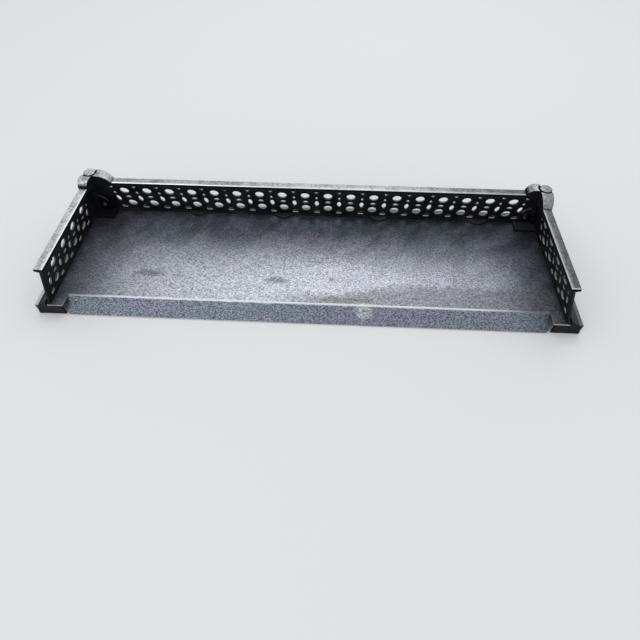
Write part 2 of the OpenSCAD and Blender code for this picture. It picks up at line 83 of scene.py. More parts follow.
# Places read from the frame
NEAR = low("left_rail")[1]
FRONT = (low("front_rail")[1] + high("front_rail")[1]) / 2
HALF = (low("right_rail")[0] + high("right_rail")[0]) / 2
REACH = FRONT - NEAR
RAIL_TOP = high("front_rail")[2]
RAIL_UNDER = low("front_rail")[2]
RAIL_T = RAIL_TOP - RAIL_UNDER
RAIL_W = high("front_rail")[1] - low("front_rail")[1]
PLATE_TOP = high("sole_plate")[2]
GALLERY_H = RAIL_TOP - PLATE_TOP
CAP_TOP = high("left_cap_stud")[2]

# Sizes of the castings, as in the part
WALL_INSET, WALL_SPREAD, WALL_T = 3.0, 38.0, 3.5
FLANGE_T, FLANGE_IN, FLANGE_OUT = 4.0, 9.0, 6.0
FOOT_W, FOOT_H, SETBACK = 9.0, 6.0, 2.0
PITCH, FRONT_SHIFT = 56.2, 12.0
FOOT_MARGIN, TOP_MARGIN, END_MARGIN = 14.0, 2.0, 22.0
TRI_W, TRI_H, ROUND_D, ROUND_RISE = 19.0, 13.0, 21.0, 26.0
GEM_W, GEM_H, GEM_RISE, DOME_W, DOME_H = 7.6, 9.6, 16.8, 15.0, 12.0
OVAL_W, OVAL_H, OVAL_DROP, LYING_W, LYING_H = 10.0, 22.0, 7.0, 14.0, 7.0
LUG_PLACES = (-303.0, -77.0, 173.0, 430.0)
PLATE_T, FOLD_R, FOLD_BACK = 2.0, 6.0, 35.0
POST_R, HEAD_R, POST_INSET = 11.0, 12.0, 4.0
DRUM_R, BUTTON_T, GROOVE, CAP_SHIFT = 14.0, 2.5, 1.8, 12.0
ARM_LONG, ARM_SHORT, ARM_STEP, CLASP = 60.0, 36.0, 1.0, 0.75
BOLT_R = 4.0
ARCH_R, ARCH_RISE, ARCH_PAST, RIM_W = 21.0, 50.0, 5.0, 2.2
SLOT = 0.3

LEAN = math.atan(WALL_SPREAD / GALLERY_H)
FLANGE_UNDER = RAIL_UNDER - FLANGE_T
FOOT_OUT = WALL_SPREAD - WALL_INSET
SEAT_OUT = FOOT_OUT + FOOT_W / 2
SLOPE_H = (FLANGE_UNDER - PLATE_TOP) / math.cos(LEAN)
SLAB_FOOT, SLAB_TOP = 1.0, SLOPE_H + 1.2
LEDGE_TOP = PLATE_TOP - PLATE_T

# Axes and origin of each run, with X along its wall and Y outward from the rail's centreline,
# and of each corner, whose casting is turned by a quarter on the right
STRAIGHT = ((1, 0, 0), (0, 1, 0), (0, 0, 1))
QUARTER = ((0, -1, 0), (1, 0, 0), (0, 0, 1))
RUNS = {
    "front": (STRAIGHT, (0, FRONT, 0)),
    "left": (((0, 1, 0), (-1, 0, 0), (0, 0, 1)), (-HALF, NEAR, 0)),
    "right": (((0, 1, 0), (1, 0, 0), (0, 0, 1)), (HALF, NEAR, 0)),
    "left_corner": (STRAIGHT, (-HALF, FRONT, RAIL_UNDER)),
    "right_corner": (QUARTER, (HALF, FRONT, RAIL_UNDER)),
    "world": (STRAIGHT, (0, 0, 0)),
}


def post_out(z):
    """Distance of a post's axis outward from the rails' centrelines, at height z."""
    return WALL_SPREAD * (RAIL_TOP - z) / GALLERY_H - WALL_INSET - POST_INSET


# ---- Meshes ----


class Shell:
    """Grids of points gathered into one mesh. Each point carries a worn value, from 0 to about 1,
    which on some pieces is partly a painted highlight.
    """

    def __init__(self, run="world"):
        self.axes, self.origin = (np.array(part, float) for part in RUNS[run])
        self.mirrored = np.linalg.det(self.axes) < 0
        self.points, self.wear, self.faces, self.count = [], [], [], 0

    def add(self, points, wear):
        """Keeps an array of points of any shape and returns their numbers in that shape."""
        points = np.asarray(points, float)
        numbers = self.count + np.arange(points[..., 0].size).reshape(points.shape[:-1])
        self.points.append(points.reshape(-1, 3))
        self.wear.append(np.broadcast_to(wear, points.shape[:-1]).reshape(-1))
        self.count += numbers.size
        return numbers

    def quads(self, numbers, ring=False, flip=False):
        """Quads between the neighbouring rows and columns of a table of point numbers. They
        face along the change over rows crossed with the change over columns, and ring joins
        each row's end to its start."""
        if ring:
            numbers = np.hstack([numbers, numbers[:, :1]])
        corner = [numbers[:-1, :-1], numbers[1:, :-1], numbers[1:, 1:], numbers[:-1, 1:]]
        quads = np.stack(corner, -1).reshape(-1, 4)
        self.faces += (quads[:, ::-1] if flip else quads).tolist()

    def grid(self, points, wear=0.0, ring=False, flip=False):
        """A sheet over an (m, n, 3) array of points."""
        numbers = self.add(points, wear)
        self.quads(numbers, ring, flip)
        return numbers

    def lid(self, numbers, flip=False):
        """One flat face over a ring of point numbers."""
        self.faces.append((numbers[::-1] if flip else numbers).tolist())

    def tube(self, points, wear=0.0):
        """A tube over rings of points, with a flat face at each end."""
        numbers = self.grid(points, wear, ring=True, flip=True)
        self.lid(numbers[0], flip=True)
        self.lid(numbers[-1])

    def build(self, name, kind, slot, *nodes):
        """Writes the mesh with its finish, and the run's own coordinates as an attribute."""
        points = np.concatenate(self.points)
        world = (points @ self.axes + self.origin) * MM
        faces = [face[::-1] for face in self.faces] if self.mirrored else self.faces
        mesh = bpy.data.meshes.new(name)
        mesh.from_pydata(world.tolist(), [], faces)
        mesh.attributes.new("wear", "FLOAT", "POINT").data.foreach_set(
            "value", np.concatenate(self.wear))
        mesh.attributes.new("run", "FLOAT_VECTOR", "POINT").data.foreach_set(
            "vector", (points * MM).ravel())
        mesh.polygons.foreach_set("use_smooth", np.ones(len(mesh.polygons), bool))
        mesh.set_sharp_from_angle(angle=math.radians(38))
        mesh.materials.append(finish(kind))
        piece = bpy.data.objects.new(name, mesh)
        bpy.context.scene.collection.objects.link(piece)
        piece.modifiers.new("Even shading", "WEIGHTED_NORMAL").keep_sharp = True
        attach(piece, "root")
        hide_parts(*nodes)
        return piece


def sides(p):
    """Unit vectors along the sides before and after each corner of an outline."""
    after = np.roll(p, -1, 0) - p
    after /= np.linalg.norm(after, axis=1, keepdims=True)
    return np.roll(after, 1, 0), after


def rounded(corners, radii, wear, steps=4):
    """A closed outline whose corners are arcs. An arc starts where the side before the corner
    touches it, r tan(turn / 2) short of the corner, and turns evenly to the next side."""
    p = np.asarray(corners, float)
    r = np.broadcast_to(radii, len(p))[:, None]
    before, after = sides(p)
    turn = np.arctan2(before[:, 0] * after[:, 1] - before[:, 1] * after[:, 0],
                      (before * after).sum(1))
    side = np.sign(turn)[:, None] * np.stack([-before[:, 1], before[:, 0]], 1)
    centre = p - before * (r * np.tan(np.abs(turn) / 2)[:, None]) + side * r
    spoke = -side * r
    angle = turn[:, None] * np.linspace(0, 1, steps + 1)
    cos, sin = np.cos(angle), np.sin(angle)
    arcs = centre[:, None] + np.stack([
        cos * spoke[:, :1] - sin * spoke[:, 1:], sin * spoke[:, :1] + cos * spoke[:, 1:]], -1)
    points = arcs.reshape(-1, 2)
    worn = np.repeat(np.broadcast_to(wear, len(p)), steps + 1)
    keep = np.linalg.norm(points - np.roll(points, 1, 0), axis=1) > 1e-4
    return points[keep], worn[keep]


def bar_outline(y, z, r, wear):
    """A rounded rectangle between pairs of Y and Z, run anticlockwise."""
    return rounded([(y[0], z[0]), (y[1], z[0]), (y[1], z[1]), (y[0], z[1])], r, wear)


def drawn_in(outline, depth):
    """An outline moved inward along its own normals. The normal is square to the line between
    a point's two neighbours; outlines run anticlockwise."""
    along = np.roll(outline, -1, 0) - np.roll(outline, 1, 0)
    along /= np.linalg.norm(along, axis=1, keepdims=True)
    return outline + depth * np.stack([-along[:, 1], along[:, 0]], 1)


def sweep(shell, outline, wear, start, end, ease=0.4, tip=None, fade=3.0):
    """A profile of Y and Z carried along X and closed at both ends. The last ease of its length
    draws in by as much. start and end are numbers, or give X for each point of a mitred end.
    tip is the worn value of its start, which fades out over a length fade; on the right rail it is
    a painted highlight."""
    inner = drawn_in(outline, ease) if ease else outline
    rings = [(start, inner), (end, inner)]
    if ease:
        rings[1:1] = [(start + ease, outline), (end - ease, outline)]
    worn = [wear] * len(rings)
    if tip is not None:
        rings.insert(2, (start + fade, outline))
        worn = [tip, tip, *worn[1:]]
    points = np.stack([
        np.column_stack([np.broadcast_to(x, len(outline)), ring]) for x, ring in rings])
    shell.tube(points, np.stack(worn))


def lathe(shell, profile, wear, x, y, count=48):
    """A profile of radius and height turned about an upright axis and closed at both ends."""
    turn = np.linspace(0, 2 * np.pi, count, endpoint=False)
    radius, height = np.asarray(profile, float).T[..., None]
    points = [x + radius * np.cos(turn), y + radius * np.sin(turn), height + 0 * turn]
    shell.tube(np.stack(points, -1), np.asarray(wear, float)[:, None])


# ---- The pierced walls ----

HOLE_POINTS = 28
HOLE_TURN = np.linspace(0, 2 * np.pi, HOLE_POINTS, endpoint=False)
SPOKES = np.stack([np.cos(HOLE_TURN), np.sin(HOLE_TURN)], 1)


def round_hole(d, grow):
    """A circle: its radius is the same at every angle."""
    return (d / 2 + grow) * SPOKES


def oval_hole(w, h, grow):
    """Two wide arcs meeting above and below, with their tips cut by a circle: at each angle
    the radius is the nearer of the far circle's edge and the tip circle's."""
    w, h = w + 2 * grow, h + 2 * grow
    side_r = (w * w / 4 + (0.575 * h) ** 2) / w
    offset = side_r - w / 2
    cos, sin = SPOKES.T
    lens = np.sqrt(side_r ** 2 - (offset * sin) ** 2) - offset * np.abs(cos)
    return np.minimum(lens, h / 2)[:, None] * SPOKES


def dome_hole(w, h, grow):
    """A circle cut off flat below: an arc, then evenly spaced points along the chord."""
    r = w / 2
    rise = h - r
    start = -math.asin((rise + grow) / (r + grow))
    turn = np.linspace(start, math.pi - start, HOLE_POINTS - 5)
    arc = (r + grow) * np.stack([np.cos(turn), np.sin(turn)], 1)
    share = np.linspace(0, 1, 7)[1:-1, None]
    return np.vstack([arc, arc[-1] + share * (arc[0] - arc[-1])]) + (0, rise)


def cornered_hole(corners, grow, r=1.0):
    """A polygon grown outward by moving every side the same distance, with rounded corners."""
    p = np.asarray(corners, float)
    before, after = sides(p)
    mitre = grow * (np.stack([before[:, 1], -before[:, 0]], 1)
                    + np.stack([after[:, 1], -after[:, 0]], 1))
    mitre /= 1 + (before * after).sum(1, keepdims=True)
    steps = HOLE_POINTS // len(p) - 1
    return rounded(p + mitre, r + grow, 0.0, steps)[0]


def hole_shapes():
    """The holes of both kinds of column: each one's place up the slope, and its outline when
    grown. The pattern's middle is halfway between the domes' foot and the triangles' top."""
    foot, top = FOOT_MARGIN, SLOPE_H - TOP_MARGIN
    mid = (foot + top) / 2
    tri = [(-TRI_W / 2, 0), (0, -TRI_H), (TRI_W / 2, 0)]
    gem = [(-GEM_W / 2, 0), (0, -GEM_H / 2), (GEM_W / 2, 0), (0, GEM_H / 2)]
    pointed = [
        (top, lambda g: cornered_hole(tri, g)),
        (mid + GEM_RISE, lambda g: cornered_hole(gem, g, 0.5)),
        (mid - OVAL_DROP, lambda g: oval_hole(OVAL_W, OVAL_H, g)),
        (foot, lambda g: dome_hole(DOME_W, DOME_H, g)),
    ]
    rounds = [
        (mid + ROUND_RISE, lambda g: round_hole(ROUND_D, g)),
        (mid - ROUND_RISE, lambda g: round_hole(ROUND_D, g)),
        (mid, lambda g: oval_hole(LYING_H, LYING_W, g)[:, ::-1] * (-1, 1)),
    ]
    return pointed, rounds


def on_slope(flat, depth):
    """Points of the leaning wall: X along it and Y up its slope, at a depth inward from its
    middle, turned into the run's own frame."""
    x, s = flat[..., 0], flat[..., 1]
    return np.stack([x, FOOT_OUT - s * math.sin(LEAN) - depth * math.cos(LEAN),
                     PLATE_TOP + s * math.cos(LEAN) - depth * math.sin(LEAN)], -1)


def pierced_slab(shell, border, places, edge):
    """The leaning plate with its holes. Each hole is a ring of points carried from a narrow
    collar on the inner face through a quarter-round edge, straight through, and out by another.
    Each face is filled between the border and the rings; triangles inside one ring are left
    out."""
    turn = np.linspace(0, math.pi / 2, 4)
    grow = edge * np.r_[1.7, 1 - np.sin(turn)]
    depth = WALL_T / 2 - edge * np.r_[0, 1 - np.cos(turn)]
    grows, depths = np.r_[grow, grow[::-1]], np.r_[depth, -depth[::-1]]
    # the holes' edges go bare grey, partly worn and partly a painted highlight where light catches
    # them
    worn = np.r_[0, 0.8, 1, 1, 1]
    worn = np.r_[worn, worn[::-1]]
    border = np.asarray(border, float)
    faces = [[shell.add(on_slope(border, d), 0.0)] for d in (depths[0], depths[-1])]
    loops = [border]
    for at, shape in places:
        rings = np.stack([shape(g) + at for g in grows])
        numbers = shell.grid(
            on_slope(rings, depths[:, None]), worn[:, None], ring=True, flip=True)
        faces[0].append(numbers[0])
        faces[1].append(numbers[-1])
        loops.append(rings[0])
    owner = np.repeat(np.arange(len(loops)), [len(loop) for loop in loops])
    turns = np.split(np.arange(len(owner)), np.flatnonzero(np.diff(owner)) + 1)
    links = np.concatenate([np.stack([here, np.roll(here, -1)], 1) for here in turns])
    made = delaunay_2d_cdt(np.concatenate(loops).tolist(), links.tolist(), [], 0, 1e-6)
    source = np.array([origin[0] for origin in made[3]])
    triangles = source[np.array(made[2])]
    owners = owner[triangles]
    triangles = triangles[(owners[:, 0] == 0) | (np.ptp(owners, axis=1) > 0)]
    inner, outer = (np.concatenate(side) for side in faces)
    shell.faces += inner[triangles].tolist() + outer[triangles[:, ::-1]].tolist()
    shell.quads(np.stack([faces[1][0], faces[0][0]]), ring=True, flip=True)


def lug(shell, x, reach=18.0, r=25.0, t=6.0, edge=2.0):
    """A round ear at the wall's foot. Rows run from the straight back to the rounded front,
    and the last ones fall over the edge on a quarter circle."""
    centre = FOOT_OUT - reach + r
    half_turn = math.acos((centre - FOOT_OUT) / r)
    turn = np.linspace(-half_turn, half_turn, 25)
    share = np.array([[0.0], [0.5], [0.85]])
    fall = np.linspace(0, math.pi / 2, 5)[:, None]
    radius = r - edge * (1 - np.sin(fall))
    across = np.vstack([(r - edge) * (0.2 + 0.8 * share), radius]) * np.sin(turn)
    inward = np.vstack([share * (centre - FOOT_OUT - (r - edge) * np.cos(turn)),
                        centre - FOOT_OUT - radius * np.cos(turn)])
    down = edge * np.vstack([0 * share, 1 - np.cos(fall)]) + 0 * turn
    rows = np.stack([x + across, FOOT_OUT + inward, PLATE_TOP + t - down], -1)
    rows = np.concatenate([rows, rows[-1:] * (1, 1, 0) + (0, 0, PLATE_TOP)])
    worn = np.repeat([0.25, 0.7, 0.0], [len(share), len(fall), 1])
    numbers = shell.grid(rows, worn[:, None])
    shell.lid(numbers[-1], flip=True)
    shell.lid(np.r_[numbers[::-1, 0], numbers[0, 1:-1], numbers[:, -1]])


def make_wall(run, ends, flange, foot, columns):
    """One pierced casting: a leaning slab, the flange under the rail and the foot. ends holds X
    at the foot and top of the slab's near and far end, flange and foot hold X of theirs, and
    columns that of the columns of pointed and of round holes."""
    shell = Shell(run)
    places = [((x, s), shape) for at, holes in zip(columns, hole_shapes())
              for x in at for s, shape in holes]
    (near_foot, near_top), (far_foot, far_top) = ends
    border = [(near_foot, SLAB_FOOT), (far_foot, SLAB_FOOT), (far_top, SLAB_TOP),
              (near_top, SLAB_TOP)]
    pierced_slab(shell, border, places, size("hole_edge"))
    y, z = (-FLANGE_IN, FLANGE_OUT), (FLANGE_UNDER, RAIL_UNDER)
    sweep(shell, *bar_outline(y, z, 0.8, 0.6), *flange)
    y, z = (FOOT_OUT - FOOT_W / 2, SEAT_OUT), (PLATE_TOP, PLATE_TOP + FOOT_H)
    sweep(shell, *bar_outline(y, z, 1.6, 0.5), *foot)
    for x in LUG_PLACES if run == "front" else ():
        lug(shell, x)
    shell.build(f"pierced_{run}", "cast_iron", "cast_iron", f"{run}_fret")


def make_walls():
    """The three walls. Their slabs run into the corner posts, which stop flange and foot."""
    past = np.array([post_out(PLATE_TOP + s * math.cos(LEAN)) - 1.0
                     for s in (SLAB_FOOT, SLAB_TOP)])
    plain, short = post_out(FLANGE_UNDER) - POST_R - SLOT, -CAP_SHIFT - HEAD_R - SLOT
    rib = post_out(PLATE_TOP) - POST_R - SLOT
    solid = END_MARGIN + TRI_W / 2
    pairs, count = int((HALF - solid) // PITCH), int((REACH - solid) / PITCH + 0.5)
    across = np.arange(-pairs, pairs + 1)
    make_wall("front", (-HALF - past, HALF + past), (-HALF - short, HALF + plain),
              (-HALF - rib, HALF + rib),
              (across * PITCH + FRONT_SHIFT, (across[:-1] + 0.5) * PITCH + FRONT_SHIFT))
    near = SETBACK + 0.3
    for side, stop in (("left", plain), ("right", short)):
        make_wall(side, ((near, near), REACH + past), (SETBACK, REACH + stop),
                  (SETBACK, REACH + rib),
                  ((np.arange(count) + 0.5) * PITCH, np.arange(1, count) * PITCH))


# ---- Rails, plinth and plate ----


def rail_profile():
    """Flat bar with bevelled long edges, worn and painted with a highlight, brighter from its
    outer to its inner edge.
    """
    w, b, z, top = RAIL_W / 2, size("rail_bevel"), RAIL_UNDER, RAIL_TOP
    edge = 0.5
    corners = [(-w, z), (w, z), (w, top - b - edge), (w, top - b), (w - b, top),
               (w - b - edge, top), (b + edge - w, top), (b - w, top), (-w, top - b),
               (-w, top - b - edge)]
    radii = [0.5, 0.5, 0, 0.5, 0.5, 0, 0, 0.5, 0.5, 0]
    wear = [0, 0, 0, 0.2, 0.3, 0.4, 0.72, 0.84, 0.86, 0]
    return rounded(corners, radii, wear)


def make_rails():
    """The three flat steel rails, from the frame's own ends. The right one's near end has a
    painted highlight."""
    outline, worn = rail_profile()
    ends = {
        "front": (low("front_rail")[0], high("front_rail")[0]),
        "left": (0.0, high("left_rail")[1] - NEAR),
        "right": (0.0, high("right_rail")[1] - NEAR),
    }
    for run, (start, end) in ends.items():
        shell = Shell(run)
        # painted highlight at the right rail's near end
        tip = np.where(worn > 0, 1.1, 0) if run == "right" else None
        sweep(shell, outline, worn, start, end, tip=tip)
        shell.build(f"{run}_steel_rail", "rail_steel", "rail_steel", f"{run}_rail")


def plinth_profile():
    """Hollow casting: inner ledge, toe, flat strip, and a cove that is a circle's arc from the
    strip's inner edge up to the lip under the wall's foot."""
    lip_in = SEAT_OUT + SLOT
    lip_out, strip_in = lip_in + 2.0, lip_in + 19.0
    strip_out, quirk, rise = strip_in + 10.0, 1.5, 10.0
    arc_x = strip_in + quirk
    run, up = arc_x - lip_out, rise - quirk
    arc_r = (run ** 2 + up ** 2) / (2 * up)
    angle = np.linspace(math.asin(quirk / arc_r), math.asin(run / arc_r), 13)
    cove = np.stack([arc_x - arc_r * np.sin(angle),
                     PLATE_TOP + quirk + arc_r * (1 - np.cos(angle))], 1)
    ledge_in, ledge_under = SEAT_OUT - 30.0, LEDGE_TOP - 5.0
    wall_in, toe = strip_out - 5.0, strip_out + 2.0
    corners = [(ledge_in, ledge_under), (wall_in, ledge_under), (wall_in, 0), (toe, 0), (toe, 7),
               (strip_out, 9), (strip_out, PLATE_TOP - 3.0), (strip_out, PLATE_TOP - 1.5),
               (strip_out - 1.5, PLATE_TOP), (strip_out - 2.6, PLATE_TOP),
               (strip_in + 0.9, PLATE_TOP), (strip_in, PLATE_TOP), *cove,
               (lip_in, PLATE_TOP + rise), (lip_in, LEDGE_TOP), (ledge_in, LEDGE_TOP)]
    radii = [0.5, 0.5, 0.5, 0.5, 0.7, 0.7, 0, 0.5, 0.5, 0, 0, 0.2,
             *np.zeros(len(cove) - 1), 0.3, 0.5, 0, 0.5]
    wear = [0, 0, 0, 0.2, 0.5, 0.2, 0.2, 1, 1.1, 1.05, 1.05, 1,
            *np.full(len(cove) - 1, 0.1), 0.7, 0.7, 0, 0]
    return rounded(corners, radii, wear)


def make_plinth():
    """The three moulded plinth castings, mitred at the corners, with solid near ends."""
    outline, worn = plinth_profile()
    y = outline[:, 0]
    gap = 0.1
    shell = Shell("front")
    sweep(shell, outline, worn, gap - HALF - y, HALF + y - gap, ease=0)
    shell.build("front_moulding", "plinth_iron", "cast_iron", "front_plinth")
    end_y, end_z = (SEAT_OUT - 29.9, SEAT_OUT + 28.0), (0.0, LEDGE_TOP - 0.05)
    for side in ("left", "right"):
        shell = Shell(side)
        sweep(shell, outline, worn, 0 * y, REACH + y - gap, ease=0)
        sweep(shell, *bar_outline(end_y, end_z, 0.4, 0.0), 0.3, 5.0)
        shell.build(f"{side}_moulding", "plinth_iron", "cast_iron", f"{side}_plinth")


def waves(x, y):
    """Slow dents of the sheet: the sum of a few sine waves of different length and direction."""
    return (np.sin(x / 71 + 0.6) * np.sin(y / 39 + 1.1) + 0.7 * np.sin(x / 118 - y / 57 + 2.0)
            + 0.5 * np.sin(x / 33 + y / 46 + 0.3) * np.sin(y / 27 + 0.9))


def apron_rows(middle, fold_y):
    """Points and wear of the apron, in rows down the fold's arc and then the slope. Its lower
    corners are circle arcs, and its ripple fades out towards the fold and the lower edge."""
    end, top_r, slope = middle[-1], FOLD_R + PLATE_T, math.radians(42)
    turn = np.linspace(0, slope, 9)[1:]
    path = np.stack([fold_y - top_r * np.sin(turn), PLATE_TOP - top_r * (1 - np.cos(turn))], 1)
    length = (path[-1, 1] - PLATE_T * math.cos(slope) - 0.05) / math.sin(slope)
    along = np.unique(np.r_[length * np.linspace(0, 1, 8)[1:-1],
                            length - np.array([8, 5.5, 3.5, 1.8, 0.7, 0])])
    path = np.vstack([path, path[-1] + along[:, None] * (-math.cos(slope), -math.sin(slope))])
    left = np.r_[np.full(len(turn), length), length - along]
    corner, calm = 8.0, 14.0
    edge = end - corner + np.sqrt(
        np.maximum(corner ** 2 - np.maximum(corner - left, 0) ** 2, 0))
    swell = np.clip(1 - left / length, 0, 1) * np.clip(left / calm, 0, 1)
    ripple = 0.35 * waves(middle * 1.3 + 40, 0 * middle)[None] * swell[:, None]
    apron = np.stack([
        (edge / end)[:, None] * middle, path[:, :1] - ripple * math.sin(slope),
        path[:, 1:] + ripple * math.cos(slope)], -1)
    # painted highlight along the fold's arc, and a thin one at the apron's lower edge
    fold_highlight = np.r_[np.interp(turn, [0, slope / 2, slope], [0.8, 1, 0.35]), 0.25 * (along < 3)]
    return apron, np.maximum(fold_highlight, 0.6 * (left < 1.0))[:, None]


def make_plate():
    """The sheet-iron sole plate: a level sheet with slow dents, two tabs, and an apron that
    turns down over a fold. Columns run along X and rows along the sheet's own surface."""
    wide = high("sole_plate")[0]
    apron_end, gap = HALF + 4.0, 0.2
    under_side, under_front, fade, fold_fade, sag = 62.0, 34.0, 60.0, 70.0, 0.5
    fold_y, back = NEAR + FOLD_BACK, FRONT + SEAT_OUT
    middle = np.linspace(-apron_end, apron_end, 109)
    tab = apron_end + gap + np.array([0.0, 1.0, 1.6, 12.0, 24.0, wide - apron_end - gap])
    shell = Shell()

    def sheet(xs, ys):
        """Points of the level sheet: slow waves and a slight sag, which die out towards the
        walls and the fold. The worn value here is a painted highlight: it dies out 9 mm behind the
        fold, and before it lies within 1.1 mm of a tab's open edges, more on the right."""
        x, y = np.meshgrid(xs, ys)
        side = np.clip((wide - under_side - np.abs(x)) / fade, 0, 1)
        front = np.clip((back - under_front - y) / fade, 0, 1)
        room = side * np.clip((y - fold_y) / fold_fade, 0, 1) * front
        z = PLATE_TOP + size("dent_depth") * waves(x, y) * room ** 1.5 - sag * room
        # painted highlight: a bright line along the fold and the tabs' open edges, brighter on the
        # right
        bent = 0.5 * np.clip(1 - (y - fold_y) / 9, 0, 1) * (np.abs(x) <= apron_end + 0.01)
        edge_highlight = np.minimum(y - NEAR, np.abs(x) - apron_end - gap) < 1.1
        worn = np.where(y < fold_y, np.where(x > 0, 0.95, 0.65) * edge_highlight, bent)
        return shell.add(np.stack([x, y, z], -1), worn)

    across = np.r_[-tab[::-1], middle, tab]
    level = sheet(across, np.linspace(fold_y, back, 31))
    shell.quads(level, flip=True)
    tab_rows = NEAR + np.array([0.0, 1.0, 1.6, 9.0, 17.0, 26.0])
    for columns in (slice(0, len(tab)), slice(-len(tab), None)):
        corner = sheet(across[columns], tab_rows)
        shell.quads(np.vstack([corner, level[:1, columns]]), flip=True)
    rest = shell.add(*apron_rows(middle, fold_y))
    shell.quads(np.vstack([level[:1, len(tab):-len(tab)], rest]))
    piece = shell.build("iron_sole_plate", "sheet_iron", "sheet_iron", "sole_plate")
    thick = piece.modifiers.new("Sheet thickness", "SOLIDIFY")
    thick.thickness, thick.offset, thick.use_even_offset = PLATE_T * MM, -1, True
    eased = piece.modifiers.new("Eased edges", "BEVEL")
    eased.width, eased.segments = 0.5 * MM, 2
    eased.limit_method, eased.angle_limit = "ANGLE", math.radians(50)
    piece.modifiers.move(0, len(piece.modifiers) - 1)


# ---- Corners ----


def arm_section(shoulder, crown=0.8):
    """Section of an arm: up a side, round a shoulder, over a low parabola and down again. Y is
    half the width times a plus b, and Z the height times c plus d; wear is the last row."""
    side, s = np.array([0.0, 0.5, 0.95]), np.linspace(1, 0, 6)[1:]
    turn = np.linspace(0, math.pi / 2, 5)
    half = np.array([
        np.r_[1 + 0 * side, 1 + 0 * turn, s],
        np.r_[0 * side, -shoulder * (1 - np.cos(turn)), -shoulder * s],
        np.r_[side, 1 + 0 * turn, 1 + 0 * s],
        np.r_[-(crown + shoulder) * side, -crown - shoulder * (1 - np.sin(turn)),
              -crown * s ** 2],
        np.r_[0, 0, 0, 0, 0.2, 0.6, 0.75, 0.6, 0.5 + 0 * s]])
    other = half[:, -2::-1] * np.array([[-1], [-1], [1], [1], [1]])
    return np.hstack([half, other])


def cap_arm(shell, length, start, offset, axes):
    """One arm of a cap. It begins at the groove round the button, x = start + the root of
    (r^2 - y^2), with an eased elliptical lip, level with the button; its top falls to the rail
    along a circle's arc, and its half-width narrows with the cube of the way along it."""
    a, b, c, d, worn = arm_section(size("arm_shoulder"))
    top = CAP_TOP - RAIL_UNDER
    reach, fall = length - start - DRUM_R, top - RAIL_T
    arc_r = (reach ** 2 + fall ** 2) / (2 * fall)
    groove_r, clasp, ease = DRUM_R + GROOVE, CLASP * DRUM_R, 0.5

    def share(x):
        return (x - start) / (length - start)

    def wide(x):
        return RAIL_W / 2 + ARM_STEP + (DRUM_R - 0.5 - RAIL_W / 2 - ARM_STEP) * (1 - share(x) ** 3)

    def across(x, less=0.0):
        return offset * (1 - share(x)) + (wide(x) - less) * a + b

    def height(x):
        run = np.clip(x - start - DRUM_R, 0, reach)
        return top - arc_r + np.sqrt(np.maximum(arc_r ** 2 - run ** 2, 0))

    begin = start + groove_r + 0 * a
    for _ in range(5):
        y = across(begin) - offset
        begin = start + np.maximum(np.sqrt(np.maximum(groove_r ** 2 - y ** 2, 0)), clasp)
    blend, lip_drop = 4.5, 2.2
    body = start + groove_r + blend
    lip = np.array([0, 0.2, 0.6, 1.2, 2.0, 3.2])
    x = np.vstack([begin + lip[:, None], begin + np.array([[0.8], [0.9]]) * (body - begin),
                   np.linspace(body, length - ease, 15)[:, None] + 0 * a, length + 0 * begin])
    less = np.r_[np.zeros(len(x) - 1), ease][:, None]
    drop = less.copy()
    drop[:len(lip), 0] = lip_drop * (1 - np.sqrt(1 - (1 - lip / lip[-1]) ** 2))
    upper = np.stack([x, across(x, less), (height(x) - drop) * c + d], -1)
    # the first rows at the groove stay unworn, so the steel finish paints them near black as shade
    bright = np.r_[0, 0, 0, 0.03, 0.4, np.ones(len(x) - 5)][:, None]
    over = shell.add(upper @ axes, worn * bright)
    turned_in = int(np.argmax(b < 0))
    rim = over[:, turned_in:-turned_in]
    under = shell.add((upper[:, turned_in:-turned_in] * (1, 1, 0)) @ axes, 0.0)
    shell.quads(over, flip=True)
    shell.quads(np.hstack([over[:, :1], under, over[:, -1:]]))
    for row, flip in ((0, True), (-1, False)):
        shell.quads(np.stack([under[row], rim[row]]), flip=flip)
        shell.lid(np.r_[over[row, :turned_in + 1], under[row, 0]], flip=flip)
        shell.lid(np.r_[over[row, -turned_in - 1:], under[row, -1]], flip=flip)

    # A block inside the arm's start, just below the floor of the groove
    x = np.array([[start + 1.0], [body + 0.5]])
    w, up = np.array([[-1.0, 1, 1, -1], [0, 0, 1, 1]])
    floor = top - BUTTON_T - GROOVE - 0.1
    shell.tube(np.stack([x + 0 * w, offset * (1 - share(x)) + (wide(x) - 0.2) * w,
                         floor * up + 0 * x], -1) @ axes)


